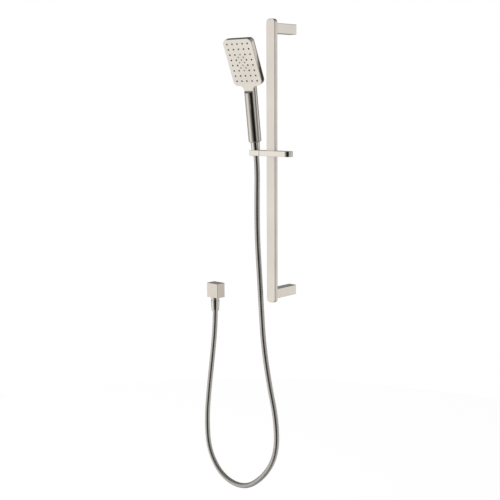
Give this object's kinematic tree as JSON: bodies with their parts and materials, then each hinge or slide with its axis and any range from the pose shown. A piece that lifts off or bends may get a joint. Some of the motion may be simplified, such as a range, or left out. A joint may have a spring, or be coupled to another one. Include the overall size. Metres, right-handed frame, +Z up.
{
  "type": "hand shower set on a slider rail",
  "caption": "Rectangular multi-function hand shower in a tilting holder on a flat slider rail, with metal hose and square wall outlet.",
  "frame": {"origin": "midway between the two rail wall fixings, on the wall face", "axes": "+X to the right when facing the wall, +Y into the wall, +Z up"},
  "size_m": [0.369, 0.1504, 1.251],
  "materials": {
    "nickel_brushed": "brushed nickel, satin",
    "nickel_on_plastic": "plated plastic in brushed nickel",
    "nickel_polished": "polished nickel",
    "hose_steel": "wound strip, polished",
    "hose_rubber": "matte",
    "silicone_dark": "matte",
    "nozzle_light": "satin",
    "plastic_natural": "matte",
    "steel": "plain",
    "brass": "machined"
  },
  "bodies": {
    "wall_set": {"rail_tube": "nickel_brushed", "rail_cap_top": "nickel_brushed", "rail_cap_bottom": "nickel_brushed", "rail_insert_upper": "brass", "rail_insert_lower": "brass", "post_upper": "nickel_brushed", "post_lower": "nickel_brushed", "bracket_upper": "brass", "bracket_lower": "brass", "post_screws": "steel", "grub_screws": "steel", "elbow_body": "nickel_brushed", "wall_seal": "silicone_dark", "outlet_nipple": "nickel_polished", "hose_nut": "nickel_polished", "washer_bottom": "silicone_dark", "ferrule_bottom": "brass", "check_cage": "plastic_natural", "check_oring": "silicone_dark", "check_spring": "steel", "hose_sheath": "hose_steel", "hose_liner": "hose_rubber"},
    "slider": {"slider_body": "nickel_brushed", "slider_liner": "plastic_natural", "brake_pad": "plastic_natural", "brake_spring": "steel"},
    "holder": {"handset_holder": "nickel_brushed", "pivot_pin": "steel", "pivot_screw": "steel", "friction_washer": "plastic_natural", "ferrule_top": "brass", "washer_top": "silicone_dark", "hose_sheath_top": "hose_steel", "hose_liner_top": "hose_rubber"},
    "handset": {"handset_shell": "nickel_on_plastic", "face_plate": "nickel_on_plastic", "nozzle_mat": "silicone_dark", "massage_insert": "nozzle_light", "distributor_plate": "plastic_natural", "head_seal": "silicone_dark", "cone_nut": "nickel_polished", "inlet_nipple": "plastic_natural", "flow_restrictor": "plastic_natural", "water_tube": "plastic_natural", "diverter_housing": "plastic_natural", "selector_spring": "steel"},
    "button": {"selector_button": "nickel_on_plastic"},
    "poppet": {"check_poppet": "plastic_natural"}
  },
  "joints": [
    {"name": "slider_slide", "type": "slide", "parent": "wall_set", "child": "slider", "axis": [0, 0, 1], "range_m": [-0.33, 0.28], "deforming": ["hose_sheath", "hose_liner", "hose_sheath_top", "hose_liner_top"]},
    {"name": "holder_tilt", "type": "hinge", "parent": "slider", "child": "holder", "pos_m": [-0.0318, -0.0792, 0.025], "axis": [1, 0, 0], "range_deg": [-1, 40], "deforming": ["hose_sheath", "hose_liner", "hose_sheath_top", "hose_liner_top"]},
    {"name": "handset_swivel", "type": "hinge", "parent": "holder", "child": "handset", "pos_m": [-0.053, -0.0792, 0.025], "axis": [0, -0.1236, 0.9923], "range_deg": [-80, 4], "deforming": ["hose_sheath", "hose_liner", "hose_sheath_top", "hose_liner_top"]},
    {"name": "selector_press", "type": "slide", "parent": "handset", "child": "button", "axis": [0, 0.9923, 0.1236], "range_m": [0, 0.002], "stiffness_N_per_m": 800, "springref_m": -0.0015, "deforming": ["selector_spring"]},
    {"name": "check_valve_open", "type": "slide", "parent": "wall_set", "child": "poppet", "axis": [0, 0, -1], "range_m": [0, 0.0025], "stiffness_N_per_m": 150, "springref_m": -0.002, "deforming": ["check_spring"]}
  ]
}
